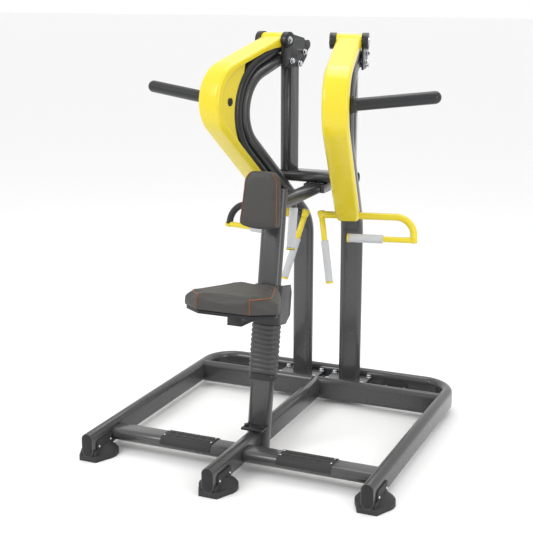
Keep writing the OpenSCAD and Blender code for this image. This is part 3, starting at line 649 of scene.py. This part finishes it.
def cushion(name, rings, place, body, replaced, pressure, cap, pinned):
    """Stuffs a closed shape: remesh, swell it as pressured cloth, and limit how far each point moves."""
    obj = emit(name, *loft(rings), place, "pad_vinyl", body, sharp=180)
    bpy.context.view_layer.update()
    obj.parent = None
    remesh = obj.modifiers.new("remesh", "REMESH")
    remesh.mode = "VOXEL"
    remesh.voxel_size = 0.0055
    apply_all(obj)
    inverse = place.inverted()
    rest = points_of(obj)
    group = obj.vertex_groups.new(name="held")
    for i, p in enumerate(rest):
        local = inverse @ Vector(p)
        if pinned(local):
            group.add([i], 1.0, "REPLACE")
    cloth = obj.modifiers.new("fill", "CLOTH")
    s = cloth.settings
    s.quality = 6
    s.mass = 0.25
    s.tension_stiffness = s.compression_stiffness = 22
    s.shear_stiffness = 12
    s.bending_stiffness = 0.6
    s.use_pressure = True
    s.uniform_pressure_force = pressure
    s.effector_weights.gravity = 0
    s.vertex_group_mass = "held"
    cloth.collision_settings.use_collision = False
    scene = bpy.context.scene
    cloth.point_cache.frame_start, cloth.point_cache.frame_end = 1, 20
    for f in range(1, 21):
        scene.frame_set(f)
    moved = evaluated_points(obj)
    obj.modifiers.clear()
    scene.frame_set(1)
    delta = moved - rest
    far = np.linalg.norm(delta, axis=1)
    scale = np.minimum(1, cap * MM / np.maximum(far, 1e-9))
    set_points(obj, rest + delta * scale[:, None])
    relax = obj.modifiers.new("relax", "SMOOTH")
    relax.factor, relax.iterations = 0.5, 3
    sub = obj.modifiers.new("sub", "SUBSURF")
    sub.levels = sub.render_levels = 1
    apply_all(obj)
    obj.data.shade_smooth()
    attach(obj, body)
    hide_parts(replaced)
    return obj


def apply_all(obj):
    dg = bpy.context.evaluated_depsgraph_get()
    mesh = bpy.data.meshes.new_from_object(obj.evaluated_get(dg))
    obj.modifiers.clear()
    obj.data = mesh
    obj.data.shade_smooth()


def points_of(obj):
    co = np.zeros(len(obj.data.vertices) * 3)
    obj.data.vertices.foreach_get("co", co)
    return co.reshape(-1, 3)


def evaluated_points(obj):
    dg = bpy.context.evaluated_depsgraph_get()
    mesh = obj.evaluated_get(dg).to_mesh()
    co = np.zeros(len(mesh.vertices) * 3)
    mesh.vertices.foreach_get("co", co)
    return co.reshape(-1, 3)


def set_points(obj, co):
    obj.data.vertices.foreach_set("co", co.reshape(-1))
    obj.data.update()


def piping(name, pad, lines, place, body, material, slot, r=3.2, out=1.4):
    """Round cords laid on a finished pad along lines given in its frame of reference."""
    bm = bmesh.new()
    bm.from_mesh(pad.data)
    tree = BVHTree.FromBMesh(bm)
    bm.free()
    parts = []
    for line in lines:
        laid = []
        for a, b in zip(line, line[1:]):
            a, b = Vector(a), Vector(b)
            m = max(1, int((b - a).length / 6))
            laid += [a.lerp(b, k / m) for k in range(m)]
        laid.append(Vector(line[-1]))
        on = []
        for p in laid:
            spot, normal, _, _ = tree.find_nearest(place @ p)
            on.append((spot + normal * out * MM) * 1000)
        for _ in range(3):
            on = [on[0]] + [(a + 2 * b + c) / 4 for a, b, c in zip(on, on[1:], on[2:])] + [on[-1]]
        parts.append((*pipe(on, r, 14, 0.8), None))
    obj = emit(name, *join_parts(parts), METRES, material, body, sharp=180, slot=slot)
    return obj


def seat_ring(front, side, back, z, grow=0, dy=0):
    """Outline of the seat at a height, given its half widths at the front, the widest point and the back."""
    f, s, b = front + grow, side + grow, back + grow
    corners = [(-f, dy - grow), (f, dy - grow), (s, 66), (s - 2, 92), (b, 318 + grow), (-b, 318 + grow),
               (2 - s, 92), (-s, 66)]
    radius = [10, 10, 40, 40, 14, 14, 40, 40]
    pts = resample(outline_points(corners, radius), 220)
    return [(p.x, p.y, z) for p in pts]


seat_rings = [seat_ring(*r) for r in (
    (104, 190, 96, -64, -4), (110, 196, 102, -62, -1), (110, 196, 102, -27, -1), (109, 178, 92, -13, -1, 1),
    (108, 161, 81, -3, -1, 3), (104, 152, 74, -0.5, -6, 6))]
seat = cushion("seat_pad", seat_rings, SEAT, "seat", "seat_cushion", 2.0, 3.5,
               lambda p: p.z < -58)
side_line = [(106, 3, -3), (130, 27, -2), (150, 52, -2), (160, 66, -2), (159, 92, -2), (130, 180, -2),
             (100, 262, -2), (82, 312, -3)]
front_line = [(106, 3, -3), (110, 0, -10), (111, -1, -30), (111, -1, -60)]
lines = []
for s in (1, -1):
    lines += [[(s * x, y, z) for x, y, z in side_line], [(s * x, y, z) for x, y, z in front_line]]
piping("seat_piping_cord", seat, lines, SEAT, "seat", "seat_piping", "pad_vinyl", 2.4, 0.8)


def chest_ring(y, grow):
    """Outline of the chest pad at a depth, seen from the user's side."""
    half = [(0, 923 - grow), (40, 926 - grow), (80 + grow, 936 - grow * 0.5), (69 + grow, 1118),
            (48 + grow, 1148 + grow)]
    corners = [(-x, z) for x, z in reversed(half[1:])] + half
    radius = [14, 22, 14, 20, 20, 20, 14, 22, 14]
    return [(p.x, y, p.y) for p in resample(outline_points(corners, radius), 200)]


chest_rings = [chest_ring(-118, -4), chest_ring(-120, 1), chest_ring(-150, 1), chest_ring(-158, 0),
               chest_ring(-161, -4)]
chest = cushion("chest_cushion", chest_rings, COLUMN, "frame", "chest_pad", 2.0, 3.5,
                lambda p: p.y > -122)
lines = [[(s * x, -158, z) for x, z in ((46, 1143), (66, 1116), (72, 1040), (77, 940))] for s in (1, -1)]
piping("chest_piping_cord", chest, lines, COLUMN, "frame", "chest_piping", "pad_vinyl", 2.2, 0.8)

# ---- floor, light and camera ----

floor_mesh = bpy.data.meshes.new("floor")
bm = bmesh.new()
bmesh.ops.create_grid(bm, x_segments=2, y_segments=2, size=60)
bm.to_mesh(floor_mesh)
bm.free()
floor = bpy.data.objects.new("floor", floor_mesh)
bpy.context.scene.collection.objects.link(floor)
floor.data.materials.append(principled("floor", (0.93, 0.93, 0.93), 0.6))

world = bpy.data.worlds.new("studio")
world.use_nodes = True
world.node_tree.nodes["Background"].inputs["Color"].default_value = (1, 1, 1, 1)
world.node_tree.nodes["Background"].inputs["Strength"].default_value = 1.0
bpy.context.scene.world = world
bpy.context.scene.view_settings.view_transform = "Standard"


def area(name, place, target, size, power):
    light = bpy.data.lights.new(name, "AREA")
    light.shape = "RECTANGLE"
    light.size, light.size_y = size
    light.energy = power
    obj = bpy.data.objects.new(name, light)
    obj.location = place
    obj.rotation_euler = (Vector(target) - Vector(place)).to_track_quat("-Z", "Y").to_euler()
    bpy.context.scene.collection.objects.link(obj)


area("key", (-2.2, -3.0, 3.4), (0, 0, 0.8), (1.8, 1.8), 70)
area("fill", (3.2, -1.6, 2.0), (0, 0, 0.9), (1.2, 2.4), 30)
area("top", (0.2, 0.8, 3.8), (0, 0, 0.8), (2.4, 2.0), 40)

camera = bpy.data.cameras.new("camera")
camera.sensor_width = 36
camera.lens = 77.23
view = bpy.data.objects.new("camera", camera)
view.location = (1.7813, -4.2227, 1.8675)
view.rotation_euler = (math.radians(76.1), 0, math.radians(23.6))
bpy.context.scene.collection.objects.link(view)
bpy.context.scene.camera = view
